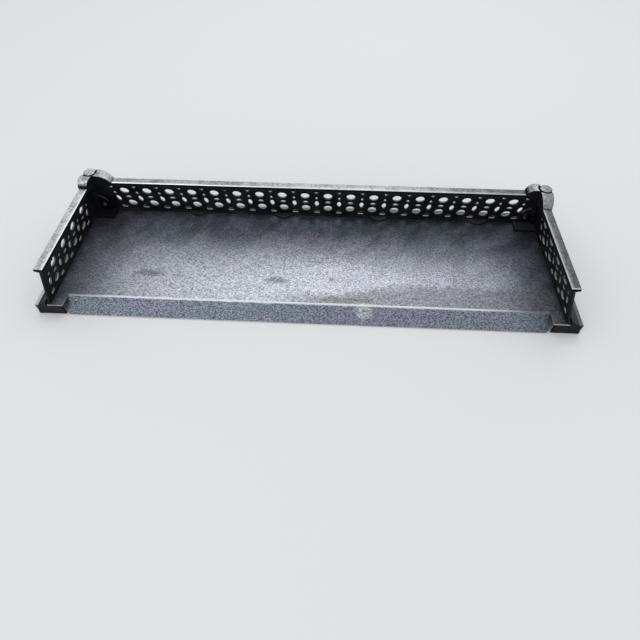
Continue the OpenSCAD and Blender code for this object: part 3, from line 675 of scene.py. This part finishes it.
def make_caps():
    """The two corner caps with their buttons: one casting, turned a quarter on the right. Its
    two arms meet over a drum below the button, and a head stands on the post."""
    top = CAP_TOP - RAIL_UNDER
    drum = top - BUTTON_T - GROOVE
    seat = post_out(RAIL_UNDER)
    r, crown = DRUM_R, size("button_crown")
    for side in ("left", "right"):
        shell = Shell(f"{side}_corner")
        cap_arm(shell, ARM_LONG, CAP_SHIFT, 0.0, STRAIGHT)
        cap_arm(shell, ARM_SHORT, 0.0, CAP_SHIFT, QUARTER)
        profile = [(r - 0.6, 0), (r, 0.6), (r, drum - 0.8), (r - 0.25, drum - 0.25),
                   (r - 0.8, drum)]
        lathe(shell, profile, np.zeros(5), CAP_SHIFT, 0)
        head = [(HEAD_R - 0.6, 0), (HEAD_R, 0.6), (HEAD_R, RAIL_T - 2.4),
                (HEAD_R - 0.4, RAIL_T - 1.8), (HEAD_R - 1.4, RAIL_T - 1.5)]
        lathe(shell, head, [0.2, 0.2, 0.3, 0.6, 0.3], -seat, seat)
        shell.build(f"{side}_cap", "cap_steel", "cap_steel", f"{side}_corner_cap")

        shell = Shell(f"{side}_corner")
        dome = [((r - 2.1) * (1 - c), top - crown * (1 - c) ** 2) for c in np.linspace(0, 1, 7)]
        profile = [(BOLT_R, drum - 3), (r - 2, drum - 0.2), (r - 2, drum + GROOVE),
                   (r - 0.4, drum + GROOVE), (r, drum + GROOVE + 0.4), (r, top - crown - 0.9),
                   (r - 0.4, top - crown - 0.4), (r - 1.5, top - crown - 0.07), *dome[:-1],
                   (0.2, top)]
        # the button's side and outer edge stay unworn and are painted near black, the shadow round
        # the button
        lathe(shell, profile, [*np.zeros(7), 0.04, 0.55, *np.full(6, 0.5)], CAP_SHIFT, 0, 64)
        shell.build(f"{side}_button", "button_steel", "cap_steel", f"{side}_cap_stud")


# ---- Finishes ----


class Value:
    """A node socket that Python's arithmetic turns into Math nodes."""

    def __init__(self, paint, socket):
        self.paint, self.socket = paint, socket

    def math(self, operation, *others):
        return self.paint.node("ShaderNodeMath", (self, *others), operation=operation)

    def __add__(self, other):
        return self.math("ADD", other)

    def __sub__(self, other):
        return self.math("SUBTRACT", other)

    def __rsub__(self, other):
        return self.paint.node("ShaderNodeMath", (other, self), operation="SUBTRACT")

    def __mul__(self, other):
        return self.math("MULTIPLY", other)

    __radd__, __rmul__ = __add__, __mul__


class Paint:
    """The node tree of one material or world. Every node comes from node()."""

    def __init__(self, owner):
        self.owner = owner
        owner.use_nodes = True
        self.tree = owner.node_tree
        self.tree.nodes.clear()

    @cached_property
    def object(self):
        return self.node("ShaderNodeTexCoord", out="Object")

    @cached_property
    def axes(self):
        return [self.node("ShaderNodeSeparateXYZ", {"Vector": self.object}, out=axis)
                for axis in "XYZ"]

    @cached_property
    def run(self):
        return self.node("ShaderNodeAttribute", out="Vector", attribute_name="run")

    @cached_property
    def wear(self):
        return self.node("ShaderNodeAttribute", out="Fac", attribute_name="wear")

    @cached_property
    def up(self):
        facing = self.node("ShaderNodeTexCoord", out="Normal")
        return self.node("ShaderNodeSeparateXYZ", {"Vector": facing}, out="Z")

    def node(self, kind, values=(), out=0, **settings):
        """Makes a node: its settings first, then its sockets, by name or place."""
        node = self.tree.nodes.new(kind)
        for key, value in settings.items():
            setattr(node, key, value)
        for key, value in (values.items() if isinstance(values, dict) else enumerate(values)):
            if isinstance(value, Value):
                self.tree.links.new(value.socket, node.inputs[key])
            else:
                node.inputs[key].default_value = value
        return Value(self, node.outputs[out]) if node.outputs else node

    def noise(self, scale, detail=3.0, rough=0.55, stretch=(1, 1, 1), place=None, seed=0.0):
        """Soft noise, its cells stretched by the given factors along the piece."""
        where = self.node("ShaderNodeMapping", {
            "Vector": place or self.object, "Location": (seed, 0.37 * seed, 0.71 * seed),
            "Scale": tuple(1 / s for s in stretch)})
        return self.node("ShaderNodeTexNoise", {
            "Vector": where, "Scale": scale, "Detail": detail, "Roughness": rough})

    def ramp(self, value, start, end, low=0.0, high=1.0):
        """Takes start..end smoothly to low..high, and holds it outside."""
        return self.node("ShaderNodeMapRange", {
            "Value": value, "From Min": start, "From Max": end, "To Min": low, "To Max": high},
            interpolation_type="SMOOTHSTEP")

    def spot(self, centre, radii, fray):
        """A soft patch: 1 inside an ellipse, 0 outside, with its edge frayed by a noise."""
        u, v = ((axis - at) * (1 / r) for axis, at, r in zip(self.axes, centre, radii))
        return self.ramp(u * u + v * v + fray * 1.6, 1.1, 0.0)

    def mix(self, factor, first, second):
        """Blends two colours."""
        first, second = ((*c, 1) if isinstance(c, tuple) else c for c in (first, second))
        return self.node("ShaderNodeMix", {0: factor, 6: first, 7: second}, out=2,
                         data_type="RGBA", clamp_factor=True)

    def tinted(self, colour, level):
        """A colour times a level."""
        return self.node("ShaderNodeVectorMath", {0: colour, "Scale": level}, operation="SCALE")

    def bump(self, height, strength, distance):
        """A normal bent by a height, whose whole range stands for the distance in metres."""
        return self.node("ShaderNodeBump", {
            "Height": height, "Strength": strength, "Distance": distance}, out="Normal")

    def close(self, **sockets):
        """Ends the tree in a Principled surface; a socket's name has _ for its spaces."""
        values = {key.replace("_", " "): value for key, value in sockets.items()}
        surface = self.node("ShaderNodeBsdfPrincipled", values)
        self.node("ShaderNodeOutputMaterial", {"Surface": surface})
        return self.owner


def cast_iron(name, worn_colour, bare=0.5, right_shading=0.0, rim=False):
    """Black-leaded casting: a pimpled skin, a lighter grey where it faces up, partly grime and
    partly painted light from above, and less of it towards the left, painted shade; bare grey
    where handling has worn the edges, and a brown bloom low down where damp ash lies.
    right_shading is what is left of the bare grey towards the right, painted shade, and rim puts
    it on the posts' arches as a painted highlight."""
    p = Paint(bpy.data.materials.new(name))
    skin = p.noise(520, 4, 0.6)
    lumps = p.noise(95, 2, 0.5, seed=1.3)
    patches = p.noise(17, 3, 0.5, seed=4.1)
    black = p.mix(p.ramp(patches, 0.35, 0.68), (0.0045, 0.0045, 0.0055), (0.013, 0.0135, 0.016))
    # partly grime and partly painted light from above, less towards the left end as painted shade
    dust_and_painted_light = p.ramp(p.up, 0.75, 1.0) * p.ramp(skin, 0.2, 0.6) * p.ramp(p.axes[0], -0.56, 0.1, 0.3)
    dusty_and_lit = p.mix(dust_and_painted_light, black, (0.05, 0.053, 0.062))
    bloom = p.ramp(p.axes[2], 0.046, 0.03) * p.ramp(patches, 0.48, 0.66) * 0.5
    rusty = p.mix(bloom, dusty_and_lit, (0.045, 0.031, 0.022))
    # rim paints the posts' arch rims bare grey, a painted highlight
    worn = arch_rim_highlight(p) * 0.9 if rim else p.wear
    rubbed_and_glinting = p.ramp(worn * 0.75 + skin * 0.5, 0.72, 1.06) * p.ramp(p.up, -0.9, 0.3) * bare
    # painted shade: the bare grey dimmed towards the right end
    if right_shading:
        rubbed_and_glinting = rubbed_and_glinting * p.ramp(p.axes[0], -0.3, 0.4, 1.0, right_shading)
    colour = p.mix(rubbed_and_glinting, rusty, worn_colour)
    rough = p.ramp(skin, 0.3, 0.7, 0.42, 0.6) - rubbed_and_glinting * 0.16
    normal = p.bump(skin * 0.6 + lumps, 0.5, 0.0005)
    return p.close(Base_Color=colour, Metallic=rubbed_and_glinting * 0.9, Roughness=rough, Normal=normal,
                   Specular_IOR_Level=0.12)


def steel(name, dull, rough, left, right, barred=True):
    """Burnished steel: fine streaks along a bar, clouds of dulling, edges kept bright by
    rubbing and by a painted highlight, and sides and grooves painted near black as shade. It is
    painted lighter at the left corner and darker towards the right one, as light and shade, by the
    levels left and right."""
    p = Paint(bpy.data.materials.new(name))
    bright = shade("bright_steel")
    where, stretch = (p.run, (14, 1, 1)) if barred else (p.object, (1, 1, 1))
    streaks = p.noise(1500, 2, 0.6, stretch=stretch, place=where)
    clouds = p.noise(28, 3, 0.55, place=where, seed=2.2)
    specks = p.noise(250, 4, 0.65, place=where, seed=6.0)
    tone = p.ramp(clouds + (streaks - 0.5) * 0.5 + (specks - 0.5) * 1.3, 0.36, 0.66)
    body = p.mix(tone, tuple(0.55 * d for d in dull),
                 tuple(0.8 * d + 0.2 * b for d, b in zip(dull, bright)))
    spotted = p.mix(p.ramp(specks, 0.62, 0.7) * 0.5, body, (0.09, 0.088, 0.085))
    # painted light and shade: lighter towards the left corner, darker towards the right
    level = p.ramp(p.axes[0], 0.1, 0.54, 1.0, right) * p.ramp(p.axes[0], -0.54, -0.44, left, 1.0)
    rubbed_and_glinting = p.ramp(p.wear + streaks * 0.3, 0.72, 1.15) * (level * 0.5 + 0.5)
    polished_and_lit = p.mix(rubbed_and_glinting, p.tinted(spotted, level), bright)
    # painted shade: faces that do not face up, and unworn parts, turn near black
    clean = p.ramp(p.up + (specks - 0.5) * 0.3, 0.2, 0.7) * p.ramp(p.wear, 0.03, 0.24)
    colour = p.mix(clean, (0.008, 0.008, 0.01), polished_and_lit)
    shine = p.ramp(clouds, 0.3, 0.7, rough, rough + 0.12) - rubbed_and_glinting * 0.1 + (1 - clean) * 0.4
    normal = p.bump(streaks + specks * 0.6, 0.3, 0.00014)
    return p.close(Base_Color=colour, Metallic=clean * 0.6 + 0.4, Roughness=shine, Normal=normal,
                   Specular_IOR_Level=0.12)


def bolt_steel(name, dull):
    """Bare bolts: turned steel with rust in its dips."""
    p = Paint(bpy.data.materials.new(name))
    skin = p.noise(650, 3, 0.6)
    patches = p.noise(110, 2, 0.5, seed=2.7)
    colour = p.mix(p.ramp(patches + (skin - 0.5) * 0.6, 0.5, 0.62), tuple(0.9 * d for d in dull),
                   (0.075, 0.052, 0.04))
    rough = p.ramp(skin, 0.3, 0.7, 0.34, 0.5)
    return p.close(Base_Color=colour, Metallic=0.85, Roughness=rough,
                   Normal=p.bump(skin, 0.5, 0.0003))


def shade_by_walls(p, clouds):
    """How much painted shade the plate gets: most at a wall's foot, and none a hand's width or two
    away.
    """
    x, y, _ = p.axes
    from_front, side = (FRONT + FOOT_OUT) * MM - y, (HALF + FOOT_OUT) * MM
    wall_shade = p.ramp(from_front + clouds * 0.05, 0.12, 0.0)
    wall_shade = wall_shade * p.ramp(x, -0.05, 0.3, 0.45, 0.68)
    for away, depth, most in ((x + side, 0.2, 0.42), (side - x, 0.18, 0.62)):
        wall_shade = wall_shade.math("MAXIMUM", p.ramp(away + clouds * 0.06, depth, -0.04) * most)
    return wall_shade


def marks_of_use(p, clean, level):
    """A plate colour with its marks: dark smudges, a dulled wedge by the fold that widens to the
    right, a brown stain, and a pale painted highlight on the fold."""
    x, y, _ = p.axes
    fray = p.noise(60, 3, 0.6, seed=11.0) - 0.5
    smudges = 0.0
    for centre, radii in (
            ((-0.374, -0.075), (0.045, 0.014)), ((-0.072, -0.083), (0.034, 0.012)),
            ((0.056, -0.073), (0.008, 0.007)), ((0.018, -0.021), (0.026, 0.003))):
        smudges = p.spot(centre, radii, fray).math("MAXIMUM", smudges)
    smudged = p.mix(smudges * 0.55, clean, (0.075, 0.08, 0.095))
    wedge = p.ramp(x, -0.04, 0.26, -0.13, -0.092)
    dulled = p.ramp(y - wedge + fray * 0.05, 0.02, -0.014) * p.ramp(x, -0.12, 0.04)
    dull = p.mix(dulled * level * 0.7, smudged, (0.21, 0.215, 0.24))
    stain = p.spot((0.09, -0.135), (0.085, 0.009), fray)
    stained = p.mix(stain * 0.5, dull, (0.17, 0.155, 0.11))
    # painted highlight: a pale spot on the fold
    fold_highlight_spot = p.spot((0.133, -0.157), (0.024, 0.017), fray)
    return p.mix(fold_highlight_spot * 0.7, stained, (0.55, 0.57, 0.6))


def sheet_iron(name):
    """Worn rolled sheet: a fine streaky grain along the length, teal and lilac clouds, a pale
    painted highlight before the fold, painted dapples of light, painted shade by the walls, and
    painted highlights along the fold and tab edges."""
    p = Paint(bpy.data.materials.new(name))
    x, y, z = p.axes
    grain = p.noise(700, 3, 0.7, stretch=(2.0, 1, 1))
    pits = p.noise(380, 5, 0.75, stretch=(1.7, 1, 1), seed=3.0)
    clouds = p.noise(9, 3, 0.55, stretch=(1.8, 1, 1), seed=5.2) - 0.5
    lilac = p.ramp(p.noise(9, 3, 0.5, stretch=(1.5, 1, 1), seed=8.8), 0.4, 0.6)
    drift, adrift = y + clouds * 0.07, x + clouds * 0.12
    # painted highlight: a pale patch before the fold, where a lamp's reflection would fall
    centre_highlight = p.ramp(drift, 0.1, -0.085) * p.ramp(adrift, -0.8, -0.15)
    centre_highlight = centre_highlight * p.ramp(adrift, 0.76, 0.04)
    # painted light: faint slanted dapples, as of light falling through the walls' holes
    slanted = p.node("ShaderNodeMapping", {"Vector": p.object, "Rotation": (0, 0, 0.7)})
    painted_dapples = p.noise(30, 1, 0.5, stretch=(1, 2.2, 1), place=slanted, seed=1.7)
    tint = p.mix(lilac, (0.188, 0.222, 0.255), (0.216, 0.215, 0.275))
    lifted = p.tinted(tint, p.ramp(painted_dapples, 0.35, 0.68, 0.78, 1.35))
    pale = p.mix(centre_highlight, lifted, p.mix(lilac, (0.59, 0.63, 0.69), (0.63, 0.635, 0.71)))
    level = p.ramp(z, 0.0290, 0.0312)
    folded = p.mix(lilac, (0.197, 0.238, 0.272), (0.225, 0.23, 0.298))
    # painted shade: the apron darker towards its right end
    turned = p.mix(level, p.tinted(folded, p.ramp(x, 0.48, 0.55, 1.0, 0.62)), pale)
    # painted shade by the walls' feet, weaker on the apron
    wall_shade = shade_by_walls(p, clouds) * (level * 0.65 + 0.35)
    lit = marks_of_use(p, p.mix(wall_shade, turned, (0.035, 0.04, 0.054)), level)
    streaky = p.ramp(grain * 0.35 + pits * 0.65, 0.42, 0.58)
    dark = p.mix((1 - level) * 0.2 + 0.6, lit, (0.02, 0.025, 0.038))
    grained = p.mix(streaky, dark, p.tinted(lit, (1 - level) * 0.12 + 1.32))
    # the painted highlights of the fold and tab edges, dimmed towards the fold's right end
    bright = p.ramp(p.wear + grain * 0.4, 0.62, 1.0)
    bright = bright * (1 - p.ramp(x, 0.37, 0.53) * p.ramp(x, 0.546, 0.544) * 0.85)
    colour = p.mix(bright * 0.75, grained, (0.76, 0.78, 0.81))
    rough = 0.5 - centre_highlight * 0.06 - bright * 0.12 + (1 - streaky) * 0.1
    normal = p.bump(grain * 0.8 + pits * 0.5, 0.5, 0.00035)
    return p.close(Base_Color=colour, Metallic=0.8, Roughness=rough, Normal=normal)


def finish(kind):
    """The material of a finish, made once."""
    name = f"{kind}_finish"
    if name in bpy.data.materials:
        return bpy.data.materials[name]
    makers = {
        "cast_iron": lambda: cast_iron(name, shade("worn_iron"), 0.75),
        "plinth_iron": lambda: cast_iron(name, shade("worn_strip"), 0.95, right_shading=0.24),
        # the last two numbers of each steel paint light at the left and shade at the right
        "rail_steel": lambda: steel(name, shade("dull_steel"), 0.3, 1.35, 0.35),
        "cap_steel": lambda: steel(name, shade("cap_steel"), 0.26, 1.1, 0.75, barred=False),
        "button_steel": lambda: steel(name, shade("button_steel"), 0.22, 1.1, 0.6, barred=False),
        "sheet_iron": lambda: sheet_iron(name),
        "post_iron": lambda: cast_iron(name, shade("dull_steel"), 0.9, rim=True),
        "fastener": lambda: cast_iron(name, shade("worn_iron"), 0.8),
        "bolt_steel": lambda: bolt_steel(name, shade("dull_steel")),
    }
    return makers[kind]()


def arch_rim_highlight(p):
    """1 on the raised rim of the corner posts' arches, where its bare grey is a painted highlight:
    a band of the distance to the arch's axis, the root of (x^2 + s^2) with s up the slope, that
    fades out down the arch's legs."""
    x, y, z = p.axes
    out, rise = (FRONT + FOOT_OUT) * MM - y, z - PLATE_TOP * MM
    up = out * math.sin(LEAN) + rise * math.cos(LEAN) - ARCH_RISE / math.cos(LEAN) * MM
    depth = out * math.cos(LEAN) - rise * math.sin(LEAN)
    above = up.math("MAXIMUM", 0.0)
    aside = x.math("ABSOLUTE") - (HALF + ARCH_PAST) * MM
    reach = (aside * aside + above * above).math("SQRT")
    inner, outer = (ARCH_R - RIM_W) * MM, ARCH_R * MM
    band = p.ramp(reach, inner - 0.0006, inner + 0.0002) * p.ramp(reach, outer + 0.001, outer)
    return (band * p.ramp(depth, 0.0062, 0.0072) * p.ramp(depth, 0.0092, 0.0085)
            * p.ramp(up, -0.014, 0.0))


def make_fixings():
    """Posts, bolts, nuts and screws keep the frame's shapes and get their finish."""
    kinds = {"post_screws": "fastener", "post": "post_iron", "bolts": "bolt_steel",
             "nuts": "fastener", "screws": "fastener"}
    for node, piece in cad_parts.items():
        kind = next((kinds[word] for word in kinds if word in node), None)
        if kind:
            material = finish(kind)
            for slot in piece.material_slots:
                slot.material = material


# ---- Studio ----


def stand(data, place, across, back):
    """Stands a lamp or camera at a place, its X across and its Z back from what it faces."""
    across, back = (np.array(axis) / np.linalg.norm(axis) for axis in (across, back))
    turn = np.eye(4)
    turn[:3] = np.stack([across, np.cross(back, across), back, place], 1)
    item = bpy.data.objects.new(data.name, data)
    item.matrix_world = Matrix(turn.tolist())
    bpy.context.scene.collection.objects.link(item)
    return item


def lamp(name, place, width, power):
    """A square soft light at a place, facing the origin."""
    data = bpy.data.lights.new(name, "AREA")
    data.shape, data.size, data.energy = "SQUARE", width, power
    stand(data, place, np.cross((0, 0, 1), place), place)


def make_stage():
    """A pale floor, a pale world, soft lamps and the camera at the photograph's place."""
    scene = bpy.context.scene
    pale = Paint(bpy.data.materials.new("pale_floor"))
    mesh = bpy.data.meshes.new("floor")
    span, sunk = 30.0, 0.0004
    corners = [(-span, -span), (span, -span), (span, span), (-span, span)]
    mesh.from_pydata([(x, y, -sunk) for x, y in corners], [], [(0, 1, 2, 3)])
    mesh.materials.append(
        pale.close(Base_Color=(0.8, 0.8, 0.8, 1), Roughness=0.9, Specular_IOR_Level=0.1))
    floor = bpy.data.objects.new("floor", mesh)
    scene.collection.objects.link(floor)

    sky = Paint(bpy.data.worlds.new("studio"))
    camera_ray, glossy_ray, clear_ray = (
        sky.node("ShaderNodeLightPath", out=f"Is {ray} Ray")
        for ray in ("Camera", "Glossy", "Transmission"))
    seen = camera_ray.math("MAXIMUM", glossy_ray.math("MAXIMUM", clear_ray))
    level = sky.node("ShaderNodeMapRange", {"Value": seen, "To Min": 0.85, "To Max": 0.95})
    light = sky.node("ShaderNodeBackground", {"Color": (0.97, 0.985, 1, 1), "Strength": level})
    sky.node("ShaderNodeOutputWorld", {"Surface": light})
    scene.world = sky.owner

    lamp("key", (0.35, 1.55, 2.25), 1.8, scene.fender_sizes.key_power)
    lamp("fill", (-1.3, -1.6, 2.0), 1.2, scene.fender_sizes.fill_power)

    # The camera as it was fitted to the photograph
    focal_px, photo_px = 445.3, 640.0
    data = bpy.data.cameras.new("camera")
    data.sensor_width = 36.0
    data.lens = focal_px / photo_px * 36.0
    data.clip_start, data.clip_end = 0.01, 100
    back = np.array([0.0304, -0.5852, 0.8103])
    back /= np.linalg.norm(back)
    across = np.array([0.99878, 0.04931, -0.00185])
    across -= back * (across @ back)
    scene.camera = stand(data, (0.0656, -0.7638, 0.8223), across, back)
    scene.view_settings.view_transform = "Standard"


# ---- Add-on ----


def setting(kind, name, description, default, **limits):
    """A size, power or colour that a user may change."""
    return kind(name=name, description=description, default=default, min=0.0, **limits)


length_of = partial(setting, bpy.props.FloatProperty, precision=5, unit="LENGTH")
power_of = partial(setting, bpy.props.FloatProperty, unit="POWER")
colour_of = partial(setting, bpy.props.FloatVectorProperty, max=1.0, subtype="COLOR")


class FenderSizes(bpy.types.PropertyGroup):
    """Sizes of the fender's fine forms, and its lamps."""

    hole_edge: length_of("Hole edge", "Radius of the eased edge of every hole", 0.0007)
    rail_bevel: length_of("Rail bevel", "Width of the bevels along the rails", 0.0015)
    arm_shoulder: length_of("Arm shoulder", "Radius along the tops of the caps' arms", 0.0016)
    button_crown: length_of("Button crown", "Rise of the buttons' middle", 0.0005)
    dent_depth: length_of("Dent depth", "Depth of the slow dents of the plate", 0.00055)
    key_power: power_of("Key lamp", "Power of the lamp beyond the fender", 9.0)
    fill_power: power_of("Fill lamp", "Power of the lamp on the near left", 6.0)


class FenderColours(bpy.types.PropertyGroup):
    """Colours of the fender's finishes."""

    dull_steel: colour_of("Dull steel", "Flats of the rails", (0.4, 0.405, 0.42))
    bright_steel: colour_of("Bright steel", "Rubbed edges of the steel", (0.82, 0.83, 0.85))
    cap_steel: colour_of("Cap steel", "Tops of the corner caps", (0.45, 0.455, 0.485))
    button_steel: colour_of("Button steel", "Tops of the buttons", (0.62, 0.63, 0.65))
    worn_iron: colour_of("Worn iron", "Rubbed edges of the castings", (0.29, 0.29, 0.3))
    worn_strip: colour_of("Worn strip", "Bright flat strip of the plinth", (0.51, 0.51, 0.52))


class FENDER_OT_stage(bpy.types.Operator):
    """Makes the floor, the lights and the camera"""

    bl_idname = "fender.stage"
    bl_label = "Studio"

    def execute(self, context):
        make_stage()
        return {"FINISHED"}


class FENDER_OT_plate(bpy.types.Operator):
    """Makes the sole plate with its folded apron"""

    bl_idname = "fender.plate"
    bl_label = "Sole plate"

    def execute(self, context):
        make_plate()
        return {"FINISHED"}


class FENDER_OT_walls(bpy.types.Operator):
    """Makes the three pierced walls"""

    bl_idname = "fender.walls"
    bl_label = "Pierced walls"

    def execute(self, context):
        make_walls()
        return {"FINISHED"}


class FENDER_OT_plinth(bpy.types.Operator):
    """Makes the plinth mouldings"""

    bl_idname = "fender.plinth"
    bl_label = "Plinth"

    def execute(self, context):
        make_plinth()
        return {"FINISHED"}


class FENDER_OT_rails(bpy.types.Operator):
    """Makes the steel rails"""

    bl_idname = "fender.rails"
    bl_label = "Rails"

    def execute(self, context):
        make_rails()
        return {"FINISHED"}


class FENDER_OT_caps(bpy.types.Operator):
    """Makes the corner caps and their buttons"""

    bl_idname = "fender.caps"
    bl_label = "Corner caps"

    def execute(self, context):
        make_caps()
        return {"FINISHED"}


class FENDER_OT_fixings(bpy.types.Operator):
    """Finishes the posts, bolts, nuts and screws"""

    bl_idname = "fender.fixings"
    bl_label = "Posts and fixings"

    def execute(self, context):
        make_fixings()
        return {"FINISHED"}


OPERATORS = (FENDER_OT_stage, FENDER_OT_plate, FENDER_OT_walls, FENDER_OT_plinth,
             FENDER_OT_rails, FENDER_OT_caps, FENDER_OT_fixings)


class FENDER_PT_panel(bpy.types.Panel):
    """Lists the fender's pieces, sizes and colours"""

    bl_idname = "FENDER_PT_panel"
    bl_label = "Hearth fender"
    bl_space_type = "VIEW_3D"
    bl_region_type = "UI"
    bl_category = "Fender"

    def draw(self, context):
        for operator in OPERATORS:
            self.layout.operator(operator.bl_idname)
        for group in (context.scene.fender_sizes, context.scene.fender_colours):
            for name in type(group).__annotations__:
                self.layout.prop(group, name)


CLASSES = (FenderSizes, FenderColours, *OPERATORS, FENDER_PT_panel)


def register():
    for made in CLASSES:
        bpy.utils.register_class(made)
    bpy.types.Scene.fender_sizes = bpy.props.PointerProperty(type=FenderSizes)
    bpy.types.Scene.fender_colours = bpy.props.PointerProperty(type=FenderColours)


def unregister():
    del bpy.types.Scene.fender_sizes
    del bpy.types.Scene.fender_colours
    for made in reversed(CLASSES):
        bpy.utils.unregister_class(made)


def main():
    """Builds the whole fender."""
    register()
    for operator in OPERATORS:
        getattr(bpy.ops.fender, operator.bl_idname.split(".")[1])()
    bpy.context.view_layer.update()


if __name__ == "__main__":
    main()
